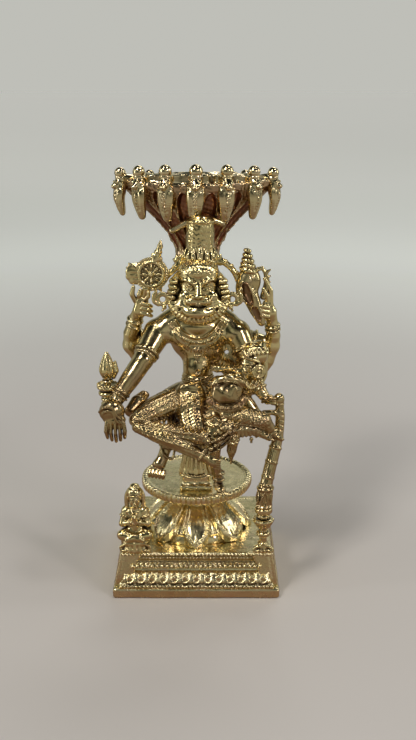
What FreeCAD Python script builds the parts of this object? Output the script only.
import FreeCAD, Part
import math
import os

from FreeCAD import Matrix, Placement, Rotation, Vector

# Cast brass temple figure: a lion-headed, four-armed deity seated under a seven-headed
# serpent hood, with a consort on one thigh, on a lotus pedestal and a stepped plinth.
# Millimetres, +Z up. The figure faces -Y and +X is on the onlooker's right. The origin is
# the centre of the plinth's flat underside.

# Driving dimensions.
TOTAL_HEIGHT = 250.0
PLINTH_WIDTH = 99.0
PLINTH_DEPTH = 87.0
PLINTH_HEIGHT = 27.8
WALL = 5.0
DISC_RADIUS = 33.0
DISC_TOP = 61.0
DISC_THICKNESS = 4.2
PETAL_COUNT = 8
NAGA_COUNT = 7
NAGA_STEP_DEG = 19.6
HOOD_RADIUS = 50.0
HOOD_FRONT_Y = -2.0
HEAD_CENTRE = Vector(1.5, -5.0, 181.5)
CROWN_RADIUS = 8.0
CROWN_TOP = 217.0

os.makedirs("parts", exist_ok=True)
UP = Vector(0, 0, 1)
made = {}


def largest_solid(shape):
    """The shape's largest solid, so that a cut leaves no loose chips."""
    return max(shape.Solids, key=lambda solid: solid.Volume)


def save(name, shape, clear_of=()):
    """Keep a node, cut back from the named nodes that it meets, and write its STEP file."""
    for other in clear_of:
        shape = shape.cut(made[other])
    shape = largest_solid(shape)
    made[name] = shape
    shape.exportStep("parts/" + name + ".step")


def joined(pieces):
    """One solid out of overlapping pieces."""
    return pieces[0].multiFuse(pieces[1:]) if len(pieces) > 1 else pieces[0]


def towards(shape, start, end):
    """Turn a shape made along +Z from the origin so that it runs from start to end."""
    shape.Placement = Placement(start, Rotation(UP, end - start))
    return shape


def bone(start, start_radius, end, end_radius):
    """A round-ended tapered rod, the outline of a limb between two joints."""
    length = (end - start).Length
    lean = math.asin((start_radius - end_radius) / length)
    side = math.cos(lean)
    rise = math.sin(lean)

    def on(radius, base, angle):
        return Vector(radius * math.cos(angle), 0, base + radius * math.sin(angle))

    low = Vector(0, 0, -start_radius)
    high = Vector(0, 0, length + end_radius)
    low_edge = Vector(start_radius * side, 0, start_radius * rise)
    high_edge = Vector(end_radius * side, 0, length + end_radius * rise)
    low_arc = Part.Arc(low, on(start_radius, 0, (lean - math.pi / 2) / 2), low_edge)
    high_arc = Part.Arc(high_edge, on(end_radius, length, (lean + math.pi / 2) / 2), high)
    outline = Part.Wire([
        low_arc.toShape(),
        Part.makeLine(low_edge, high_edge),
        high_arc.toShape(),
        Part.makeLine(high, low),
    ])
    rod = Part.Face(outline).revolve(Vector(0, 0, 0), UP, 360)
    return towards(rod, start, end)


def limb(*joints):
    """Tapered rods through a chain of (joint, radius) pairs."""
    pairs = zip(joints, joints[1:])
    return joined([bone(a, a_radius, b, b_radius) for (a, a_radius), (b, b_radius) in pairs])


def blob(centre, x_radius, y_radius, z_radius, turn=0.0):
    """An ellipsoid, turned about Z by a number of degrees."""
    stretch = Matrix()
    stretch.scale(x_radius, y_radius, z_radius)
    ball = Part.makeSphere(1.0).transformGeometry(stretch)
    ball.Placement = Placement(centre, Rotation(UP, turn))
    return ball


def turned(outline):
    """Revolve a list of (radius, height) corners about the Z axis."""
    points = [Vector(radius, 0, height) for radius, height in outline]
    face = Part.Face(Part.makePolygon(points + points[:1]))
    return face.revolve(Vector(0, 0, 0), UP, 360)


def slab(width, depth, bottom, top, corner=0.0):
    """A block centred on the Z axis, with rounded upright corners where one is given."""
    block = Part.makeBox(width, depth, top - bottom, Vector(-width / 2, -depth / 2, bottom))
    if corner:
        upright = [e for e in block.Edges if abs(e.tangentAt(e.FirstParameter).z) > 0.99]
        block = block.makeFillet(corner, upright)
    return block


def tapered(width, depth, bottom, top_width, top_depth, top):
    """A block with sloping sides, centred on the Z axis."""

    def ring(w, d, z):
        corners = [(-w, -d), (w, -d), (w, d), (-w, d), (-w, -d)]
        return Part.makePolygon([Vector(x / 2, y / 2, z) for x, y in corners])
    return Part.makeLoft([ring(width, depth, bottom), ring(top_width, top_depth, top)], True, True)


def collar(start, end, distance, radius, height):
    """A round band across a limb, a number of millimetres along it."""
    along = (end - start).normalize()
    return Part.makeCylinder(radius, height, start + along * distance, along)


# Stepped plinth.

FOOT_TOP = 6.3
BODY_TOP = 25.9
MOULD_DEPTH_STEP = 11.0
WING_THICKNESS = 3.4


def plinth_foot():
    return slab(PLINTH_WIDTH, PLINTH_DEPTH, 0, FOOT_TOP, 4.0)


def plinth_body():
    """The stacked mouldings between the two slabs, cast hollow."""
    stages = [
        (93.0, FOOT_TOP, 93.0, 9.2),
        (88.0, 9.2, 82.0, 15.2),
        (80.0, 15.2, 78.0, 17.4),
        (78.0, 17.4, 77.0, 20.4),
        (71.0, 20.4, 71.0, BODY_TOP),
    ]
    blocks = [
        tapered(low, low - MOULD_DEPTH_STEP, bottom, high, high - MOULD_DEPTH_STEP, top)
        for low, bottom, high, top in stages
    ]
    width = stages[-1][0] - 2 * WALL
    hollow = slab(width, width - MOULD_DEPTH_STEP, FOOT_TOP, BODY_TOP)
    return joined(blocks).cut(hollow)


def plinth_wing(side):
    """One of the plain sloping side walls that stand behind the front mouldings."""
    low_outer = PLINTH_WIDTH / 2 - 0.8
    high_outer = low_outer - 3.0
    corners = [
        (high_outer - 4 * WING_THICKNESS, BODY_TOP),
        (high_outer, BODY_TOP),
        (low_outer, FOOT_TOP),
        (low_outer - 3 * WING_THICKNESS, FOOT_TOP),
    ]
    front = -PLINTH_DEPTH / 2 + 6.5
    points = [Vector(side * x, front, z) for x, z in corners]
    face = Part.Face(Part.makePolygon(points + points[:1]))
    return face.extrude(Vector(0, -2 * front, 0))


def plinth_top():
    plate = slab(89.5, 77.0, BODY_TOP, PLINTH_HEIGHT, 1.0)
    stud = Part.makeCylinder(6.0, 3.0, Vector(0, 0, PLINTH_HEIGHT))
    return plate.fuse(stud)


save("plinth_foot", plinth_foot())
save("plinth_body", plinth_body())
save("plinth_wing_left", plinth_wing(-1), ["plinth_body"])
save("plinth_wing_right", plinth_wing(1), ["plinth_body"])
save("plinth_top", plinth_top())

# Lotus pedestal.

SOCLE_TOP = 33.0
PETAL_THICKNESS = 2.6
PETAL_TIP_RADIUS = 34.0
DISC_BOTTOM = DISC_TOP - DISC_THICKNESS


def lotus_core():
    """The bell behind the petals, with the ring neck and the dish under the disc."""
    return turned([
        (0, SOCLE_TOP), (24.0, SOCLE_TOP), (21.0, 37.0), (15.5, 43.0), (13.5, 46.5),
        (15.5, 47.0), (15.5, 49.5), (14.0, 50.0), (19.0, 53.0), (30.0, DISC_BOTTOM),
        (0, DISC_BOTTOM),
    ])


def petal(angle):
    """A drooping pointed petal: a leaf outline cut from a flared shell."""
    shell = turned([
        (14.6, 47.0), (19.0, 46.0), (25.5, 39.5), (PETAL_TIP_RADIUS, 30.5),
        (PETAL_TIP_RADIUS - 2.0, 28.6), (24.0, 34.5), (18.0, 42.5), (14.6, 45.0),
    ])
    half = 8.6
    tip = PETAL_TIP_RADIUS + 0.5
    outline = Part.BSplineCurve()
    outline.interpolate([
        Vector(13.0, -3.5, 0), Vector(19.0, -6.0, 0), Vector(27.0, -half, 0),
        Vector(31.5, -half * 0.6, 0), Vector(tip, 0, 0),
    ])
    other = outline.copy()
    other.mirror(Vector(0, 0, 0), Vector(1, 0, 0))
    base = Part.makeLine(Vector(13.0, -3.5, 0), Vector(13.0, 3.5, 0))
    leaf = Part.Face(Part.Wire(Part.sortEdges([outline.toShape(), other.toShape(), base])[0]))
    cutter = leaf.extrude(Vector(0, 0, 2 * DISC_RADIUS))
    piece = shell.common(cutter)
    piece.rotate(Vector(0, 0, 0), UP, angle)
    return piece


socle = Part.makeCylinder(28.0, SOCLE_TOP - PLINTH_HEIGHT, Vector(0, 0, PLINTH_HEIGHT))
save("lotus_socle", socle, ["plinth_top"])
save("lotus_core", lotus_core())
for index in range(PETAL_COUNT):
    save("lotus_petal_%d" % (index + 1), petal(-90 + index * 360.0 / PETAL_COUNT), ["lotus_core"])
save("seat_disc", turned([
    (0, DISC_BOTTOM), (DISC_RADIUS - 1.6, DISC_BOTTOM), (DISC_RADIUS, DISC_BOTTOM + 1.6),
    (DISC_RADIUS, DISC_TOP - 1.4), (DISC_RADIUS - 1.4, DISC_TOP), (0, DISC_TOP),
]))

# Seat column with its draped cloth.

COLUMN_CENTRE_Y = -12.0
COLUMN_TOP = 101.0


def seat_column():
    block = Part.makeBox(21.0, 26.0, 13.0, Vector(-10.5, COLUMN_CENTRE_Y - 13.0, DISC_TOP))
    post = Part.makeCone(8.5, 9.5, COLUMN_TOP - 73.0, Vector(0, COLUMN_CENTRE_Y, 73.0))
    return block.fuse(post)


def seat_drape():
    """Three hanging pleats in front of the column, flaring at the hem."""
    centre = Vector(0, COLUMN_CENTRE_Y, 0)
    pleats = []
    for fan in (-1, 0, 1):
        top = centre + Vector(3.0 * fan, -8.0, 96.0)
        hem = centre + Vector(5.2 * fan, -11.0, 77.5)
        pleats.append(bone(top, 1.8, hem, 3.0))
    return joined(pleats)


save("seat_column", seat_column())
save("seat_drape", seat_drape(), ["seat_column"])

# The deity's trunk and legs.

HIP_CENTRE = Vector(1.0, -3.0, 112.0)
RIGHT_KNEE = Vector(-34.5, -27.0, 107.5)
LEFT_KNEE = Vector(20.0, -31.0, 104.0)
LEFT_ANKLE = Vector(13.0, -24.5, 70.0)


def torso():
    chest = blob(Vector(0.8, -1.0, 149.0), 17.5, 10.0, 15.5)
    waist = bone(Vector(0.8, -1.0, 142.0), 9.5, Vector(1.0, -2.0, 122.0), 9.0)
    yoke = bone(Vector(-17.0, 0, 154.5), 8.0, Vector(18.0, 0, 153.5), 8.0)
    neck = bone(Vector(1.2, 0, 158.0), 9.0, Vector(1.5, -1.0, 172.0), 8.0)
    return joined([chest, waist, yoke, neck])


def right_shin():
    ankle = Vector(5.0, -35.0, 88.5)
    shin = bone(RIGHT_KNEE + Vector(2.0, -3.5, -5.0), 4.6, ankle, 3.6)
    foot = blob(ankle + Vector(4.0, -1.0, -3.5), 4.6, 3.4, 3.6)
    return shin.fuse(foot)


def left_shin():
    shin = bone(LEFT_KNEE + Vector(-1.0, 0, -9.0), 5.0, LEFT_ANKLE, 3.0)
    band = Part.makeCylinder(4.0, 3.2, LEFT_ANKLE + Vector(0, 0, -1.6))
    foot = bone(LEFT_ANKLE + Vector(0, 0, -4.0), 3.2, Vector(15.0, -29.0, DISC_TOP + 2.1), 2.1)
    return joined([shin, band, foot])


save("hips", blob(HIP_CENTRE, 18.0, 14.0, 11.5), ["seat_column"])
save("torso", torso(), ["hips"])
save("right_thigh", limb((Vector(-8, -7, 113), 10.5), (RIGHT_KNEE, 6.6)), ["hips", "seat_column"])
save("left_thigh", limb((Vector(9, -8, 112), 10.0), (LEFT_KNEE, 7.4)), ["hips", "seat_column"])
save("right_shin", right_shin(), ["right_thigh", "seat_drape"])
save("left_shin", left_shin(), ["left_thigh", "seat_column", "right_shin", "seat_disc"])
save("crossed_foot", limb(
    (Vector(-14, -21, 99), 4.6), (Vector(-19, -24, 84), 3.4), (Vector(-22, -27.5, 78.5), 3.4),
), ["right_thigh", "right_shin", "hips", "seat_column"])

# Head, mane and crown.


def mane():
    """The ruff of hair round the jaw, over the neck, with curls beside the ears."""
    jaw = blob(HEAD_CENTRE + Vector(0.3, -1.5, -9.0), 18.6, 13.5, 12.0)
    rolls = [
        blob(HEAD_CENTRE + Vector(side * 14.0, 2.0, -1.0), 4.2, 5.5, 6.5) for side in (-1, 1)
    ]
    return joined([jaw] + rolls)


def crown():
    base = HEAD_CENTRE.z + 11.5
    outline = [
        (0, base), (9.6, base), (10.2, base + 2.0), (9.4, base + 4.2), (CROWN_RADIUS, base + 5.0),
        (CROWN_RADIUS + 0.4, CROWN_TOP - 3.0), (CROWN_RADIUS - 0.8, CROWN_TOP - 0.6),
        (CROWN_RADIUS - 3.0, CROWN_TOP), (2.0, CROWN_TOP), (2.6, CROWN_TOP + 3.0),
        (1.2, CROWN_TOP + 5.0), (1.6, CROWN_TOP + 6.5), (0, CROWN_TOP + 8.0),
    ]
    shape = turned(outline)
    shape.translate(Vector(2.6, -1.0, 0))
    return shape


save("head", blob(HEAD_CENTRE, 12.4, 12.5, 13.5), ["torso"])
save("mane", mane(), ["torso", "head"])
save("crown", crown(), ["head"])

# Serpent hood.

STEM_FOOT = 160.0
HOOD_UNDERSIDE = 231.0
HOOD_TOP = 243.0
HOOD_CENTRE = Vector(0.8, HOOD_FRONT_Y + HOOD_RADIUS, 0)
HOOD_HALF_DEG = 59.0
BAND_THICKNESS = 4.2


def sector_wire(radius, thickness, front_y, height):
    """A forward-bulging band, seen in plan: two arcs and two straight ends."""
    centre = Vector(HOOD_CENTRE.x, front_y + radius, height)

    def at(r, degrees):
        angle = math.radians(degrees)
        return centre + Vector(r * math.sin(angle), -r * math.cos(angle), 0)

    inner = radius - thickness
    ends = (-HOOD_HALF_DEG, HOOD_HALF_DEG)
    return Part.Wire([
        Part.Arc(at(radius, ends[0]), at(radius, 0), at(radius, ends[1])).toShape(),
        Part.makeLine(at(radius, ends[1]), at(inner, ends[1])),
        Part.Arc(at(inner, ends[1]), at(inner, 0), at(inner, ends[0])).toShape(),
        Part.makeLine(at(inner, ends[0]), at(radius, ends[0])),
    ])


def hood_stem():
    """The joined serpent necks, rising behind the crown and fanning out to the hood."""
    sections = [
        (STEM_FOOT, 10.0, 8.0), (175.0, 10.0, 8.2), (192.0, 11.5, 9.5), (200.0, 12.5, 9.5),
        (208.0, 17.5, 8.5), (216.0, 25.0, 6.0), (224.0, 34.5, 3.0), (HOOD_UNDERSIDE, 45.0, 0.5),
    ]
    wires = [sector_wire(r, BAND_THICKNESS, y, z) for z, r, y in sections]
    return Part.makeLoft(wires, True, True)


def canopy():
    """The flat crescent that ties the seven heads together."""
    base = sector_wire(HOOD_RADIUS - 3.5, 16.0, HOOD_FRONT_Y + 3.5, HOOD_UNDERSIDE)
    return Part.Face(base).extrude(Vector(0, 0, HOOD_TOP - HOOD_UNDERSIDE))


def naga_head(index):
    """A serpent head: knob on top, face, and the long drooping lobe of the lower jaw."""
    place = index - (NAGA_COUNT - 1) / 2
    angle = math.radians(place * NAGA_STEP_DEG)
    drop = 0.5 * place * place
    ball_radius = 4.8 - 0.3 * abs(place)
    outward = Vector(math.sin(angle), -math.cos(angle), 0)
    foot = HOOD_CENTRE + outward * (HOOD_RADIUS - 2.0)
    top = TOTAL_HEIGHT - drop
    knob = Part.makeSphere(ball_radius, foot + Vector(0, 0, top - ball_radius))
    face = bone(foot + Vector(0, 0, top - 8.0), 4.2, foot + Vector(0, 0, top - 14.0), 4.6)
    tip = foot + outward * 2.0 + Vector(0, 0, 220.0)
    lobe = bone(foot + outward + Vector(0, 0, top - 15.0), 4.4, tip, 1.5)
    return joined([knob, face, lobe])


save("hood_stem", hood_stem(), ["torso"])
save("canopy", canopy(), ["hood_stem"])
for index in range(NAGA_COUNT):
    save("naga_head_%d" % (index + 1), naga_head(index), ["canopy", "hood_stem"])

# The four arms.

RIGHT_SHOULDER = Vector(-22.5, -1.0, 152.5)
LEFT_SHOULDER = Vector(24.0, -1.0, 152.0)
REAR_RIGHT_HAND = Vector(-32.0, -2.0, 170.0)
REAR_LEFT_HAND = Vector(42.5, -1.0, 166.0)


def front_right_arm():
    elbow = Vector(-30.5, -13.0, 139.5)
    wrist = Vector(-46.0, -24.0, 118.5)
    palm = wrist + Vector(-0.5, -3.5, -7.0)
    arm = limb((RIGHT_SHOULDER, 8.6), (elbow, 5.8), (wrist, 4.4))
    band = collar(RIGHT_SHOULDER, elbow, 12.5, 6.9, 3.0)
    hand = blob(palm, 7.6, 4.0, 6.0)
    fingers = [
        bone(palm + Vector(x, -0.5, -2.0), 2.0, palm + Vector(x * 1.1, -0.5, -11.5), 1.5)
        for x in (-3.4, -0.6, 2.2, 5.0)
    ]
    return joined([arm, band, hand] + fingers)


def front_left_arm():
    elbow = Vector(33.5, -8.0, 134.0)
    hand = Vector(17.0, -17.0, 129.0)
    arm = limb((LEFT_SHOULDER, 8.0), (elbow, 5.4), (hand, 4.0))
    return arm.fuse(collar(LEFT_SHOULDER, elbow, 9.0, 7.4, 3.0))


def rear_right_arm():
    elbow = Vector(-38.5, 7.0, 142.0)
    hand = REAR_RIGHT_HAND
    arm = limb((Vector(-22.0, 6.0, 149.0), 5.5), (elbow, 4.4), (hand + Vector(-4.0, 3.0, -8.0), 4.0))
    palm = limb((hand + Vector(-4.0, 3.0, -8.0), 4.2), (hand, 5.2), (hand + Vector(4, -1, 7), 3.0))
    return arm.fuse(palm)


def rear_left_arm():
    elbow = Vector(44.5, 6.0, 142.0)
    hand = REAR_LEFT_HAND
    arm = limb((Vector(24.0, 6.0, 148.0), 5.5), (elbow, 4.4), (hand + Vector(0.5, 3.0, -10.0), 3.6))
    palm = limb((hand + Vector(0.5, 3.0, -10.0), 3.6), (hand, 4.6), (hand + Vector(-3, -1, 8), 2.6))
    return arm.fuse(palm)


save("front_right_arm", front_right_arm(), ["torso", "right_thigh", "right_shin"])
save("front_left_arm", front_left_arm(), ["torso", "hips"])
save("rear_right_arm", rear_right_arm(), ["torso", "front_right_arm"])
save("rear_left_arm", rear_left_arm(), ["torso", "front_left_arm"])

# What the hands hold.

CHAKRA_CENTRE = Vector(-25.5, -3.0, 188.0)
CHAKRA_RADIUS = 9.8
CONCH_TIP = Vector(29.5, -3.0, 203.5)


def chakra():
    """The wheel, with the flame on its rim top and the flame at its outer edge."""
    back = CHAKRA_CENTRE + Vector(0, 2.2, 0)
    forward = Vector(0, -1, 0)
    disc = Part.makeCylinder(CHAKRA_RADIUS, 4.4, back, forward)
    rim = Part.makeTorus(7.0, 0.9, CHAKRA_CENTRE + Vector(0, -2.2, 0), forward)
    hub = Part.makeCone(3.4, 2.2, 1.4, CHAKRA_CENTRE + Vector(0, -2.2, 0), forward)
    flame = limb(
        (CHAKRA_CENTRE + Vector(2.5, 0, 9.0), 2.8), (CHAKRA_CENTRE + Vector(4.0, 0, 13.5), 2.0),
        (CHAKRA_CENTRE + Vector(5.0, 0, 18.6), 0.9),
    )
    wing = limb(
        (CHAKRA_CENTRE + Vector(-9.0, 1.0, -2.0), 2.6), (CHAKRA_CENTRE + Vector(-14.5, 1, -1), 1.6),
    )
    return joined([disc, rim, hub, flame, wing])


def conch():
    """The shell: a ringed spire, a full body and a tapering lip below."""
    spire = [
        bone(CONCH_TIP + Vector(0.2 * k, 0, -2.2 * k), 1.0 + 0.75 * k,
             CONCH_TIP + Vector(0.2 * k, 0, -2.2 * k - 1.0), 1.2 + 0.75 * k)
        for k in range(6)
    ]
    body = blob(CONCH_TIP + Vector(0.5, 0, -20.5), 7.4, 5.4, 9.5)
    lip = bone(CONCH_TIP + Vector(1.5, -1.5, -26.0), 5.4, CONCH_TIP + Vector(7.0, -1.0, -43.0), 2.6)
    flame = limb(
        (CONCH_TIP + Vector(9.5, 1, -13.0), 1.4), (CONCH_TIP + Vector(11.5, 1, -18.0), 2.0),
        (CONCH_TIP + Vector(10.0, 1, -28.0), 2.6),
    )
    return joined(spire + [body, lip, flame])


def lotus_bud():
    """The bud on its ringed stem that stands behind the lowered front hand."""
    shape = turned([
        (0, 112.0), (3.2, 112.0), (3.8, 115.5), (3.2, 118.5), (4.6, 119.2), (5.0, 121.5),
        (4.4, 123.0), (6.2, 123.8), (6.2, 125.8), (3.0, 127.0), (3.4, 129.0), (2.4, 130.2),
        (3.9, 133.0), (4.4, 136.5), (3.2, 141.0), (1.2, 144.5), (0, 146.2),
    ])
    side_bud = bone(Vector(4.0, 2.0, 131.0), 1.8, Vector(4.6, 2.0, 138.5), 2.2)
    shape = shape.fuse(side_bud)
    shape.translate(Vector(-51.2, -18.5, 0))
    return shape


save("chakra", chakra(), ["rear_right_arm"])
save("conch", conch(), ["rear_left_arm"])
save("lotus_bud", lotus_bud(), ["front_right_arm"])

# Earrings and the leafy struts that tie the attributes to the head.

EAR_X = {"right": -18.6, "left": 19.9}
STRUT_END = {"right": Vector(-15.5, -2.0, 191.5), "left": Vector(24.8, -3.0, 186.5)}


def earring(side):
    """A thick pierced ring that hangs beside the mane."""
    centre = Vector(EAR_X[side], -9.0, 174.5)
    return Part.makeTorus(2.9, 1.5, centre, Vector(0, -1, 0))


def strut(side):
    """A short leaf scroll from the diadem out to the wheel or the shell."""
    sign = -1 if side == "right" else 1
    start = HEAD_CENTRE + Vector(sign * 9.8 + 1.1, 3.0, 14.0)
    middle = start + Vector(sign * 4.4, -2.0, 1.0)
    return limb((start, 1.9), (middle, 2.3), (STRUT_END[side], 1.5))


for side, held in (("right", "chakra"), ("left", "conch")):
    save("earring_" + side, earring(side), ["mane"])
    save("strut_" + side, strut(side), ["crown", held])

# The consort on the left thigh.

CONSORT_HEAD = Vector(33.6, -17.0, 140.5)
CONSORT_SHOULDER = Vector(35.0, -17.5, 126.5)
CONSORT_KNEE = Vector(38.0, -32.0, 110.5)


def consort_body():
    belly = blob(Vector(18.2, -21.0, 121.5), 10.4, 9.0, 9.6)
    chest = bone(Vector(26.0, -19.0, 120.0), 7.4, CONSORT_SHOULDER + Vector(-2, 0, 0), 6.0)
    neck = bone(CONSORT_SHOULDER + Vector(-2, 0, 3), 3.6, CONSORT_HEAD + Vector(0, 0, -5), 3.6)
    return joined([belly, chest, neck])


def consort_head():
    return blob(CONSORT_HEAD, 6.4, 7.0, 8.2).fuse(blob(CONSORT_HEAD + Vector(1, 1.5, 4), 7, 7, 6))


def consort_legs():
    seat = Vector(24.0, -26.0, 110.5)
    foot = Vector(44.5, -28.0, 99.0)
    return limb((seat, 7.6), (CONSORT_KNEE, 5.0), (CONSORT_KNEE + Vector(2, 3, -7), 4.0), (foot, 2.6))


def consort_arm():
    hand = Vector(42.6, -23.0, 118.0)
    return limb((CONSORT_SHOULDER + Vector(1.5, 0, 0), 4.4), (Vector(39.6, -20.5, 121.5), 3.2),
                (hand, 3.4))


def sash_tassel():
    top = Vector(21.4, -33.0, 98.5)
    flower = blob(top, 4.0, 2.6, 3.0)
    return flower.fuse(bone(top + Vector(0, 0, -2), 2.6, Vector(20.4, -31.0, 83.0), 0.9))


save("consort_body", consort_body(), ["front_left_arm", "torso", "hips", "left_thigh"])
save("consort_head", consort_head(), ["consort_body", "front_left_arm"])
save("consort_legs", consort_legs(), ["consort_body", "left_thigh", "hips", "left_shin"])
save("consort_arm", consort_arm(), ["consort_body", "consort_head", "consort_legs"])
save("sash_tassel", sash_tassel(), ["consort_legs", "left_thigh", "left_shin"])

# The mace that stands at the front right corner.

MACE_FOOT = Vector(39.6, -35.0, PLINTH_HEIGHT)
MACE_BEND = Vector(47.8, -26.0, 97.0)
MACE_NECK = 56.0


def mace_foot():
    """The turned foot: bell, bead and two rings."""
    shape = turned([
        (0, 0), (4.4, 0), (4.4, 2.4), (2.8, 3.2), (2.5, 6.5), (2.2, 8.6), (4.0, 10.2), (4.0, 12.6),
        (2.6, 14.0), (3.4, 17.6), (5.6, 19.0), (5.6, 21.6), (3.6, 22.8), (4.4, 24.4), (4.4, 26.6),
        (4.6, MACE_NECK - PLINTH_HEIGHT), (0, MACE_NECK - PLINTH_HEIGHT),
    ])
    shape.translate(MACE_FOOT)
    return shape


def mace_shaft():
    low = Vector(MACE_FOOT.x, MACE_FOOT.y, MACE_NECK)
    shaft = limb((low + Vector(0.2, 0, 4.4), 4.6), (low + Vector(0.6, 0.3, 14), 3.9), (MACE_BEND, 3.2))
    ring = Part.makeCylinder(4.9, 2.4, low + Vector(0.4, 0.1, 12.0))
    seat = Part.makeCylinder(4.4, 5.0, low)
    return joined([shaft, ring, seat])


def mace_stalk():
    """The bud-headed stalk above the shaft, with the rail to the consort's hand."""
    top = Vector(47.6, -22.5, 119.5)
    stalk = limb((MACE_BEND + Vector(0.6, 0.6, 4.0), 2.8), (Vector(48.4, -23.5, 109.0), 2.9), (top, 2.7))
    rail = bone(Vector(48.0, -23.5, 110.0), 1.8, Vector(41.0, -24.0, 109.5), 1.8)
    return stalk.fuse(rail)


save("mace_foot", mace_foot())
save("mace_shaft", mace_shaft(), ["mace_foot", "consort_legs"])
save("mace_stalk", mace_stalk(), ["mace_shaft", "consort_arm", "consort_legs", "consort_body"])

# The kneeling attendant at the front left corner.

ATTENDANT = Vector(-36.0, -32.5, PLINTH_HEIGHT)


def attendant_body():
    lap = blob(ATTENDANT + Vector(0, -1.5, 5.2), 8.4, 6.4, 5.2)
    trunk = bone(ATTENDANT + Vector(0, 1.0, 9.0), 6.6, ATTENDANT + Vector(0, 1.5, 21.0), 5.0)
    arms = [
        limb((ATTENDANT + Vector(side * 5.5, 1.0, 22.0), 2.8),
             (ATTENDANT + Vector(side * 7.0, -1.5, 15.0), 2.4),
             (ATTENDANT + Vector(side * 1.0, -6.0, 19.0), 2.0))
        for side in (-1, 1)
    ]
    base = Part.makeCylinder(7.6, 2.4, ATTENDANT + Vector(0, 0, 0))
    return joined([lap, trunk, base] + arms)


def attendant_head():
    centre = ATTENDANT + Vector(0, 1.0, 32.0)
    halo = Part.makeCylinder(6.2, 2.0, centre + Vector(0, 4.0, 2.6), Vector(0, -1, 0))
    return joined([blob(centre, 4.4, 4.6, 5.6), halo, bone(centre, 3.0, centre - UP * 7.0, 3.0)])


save("attendant_body", attendant_body(), ["plinth_top"])
save("attendant_head", attendant_head(), ["attendant_body"])
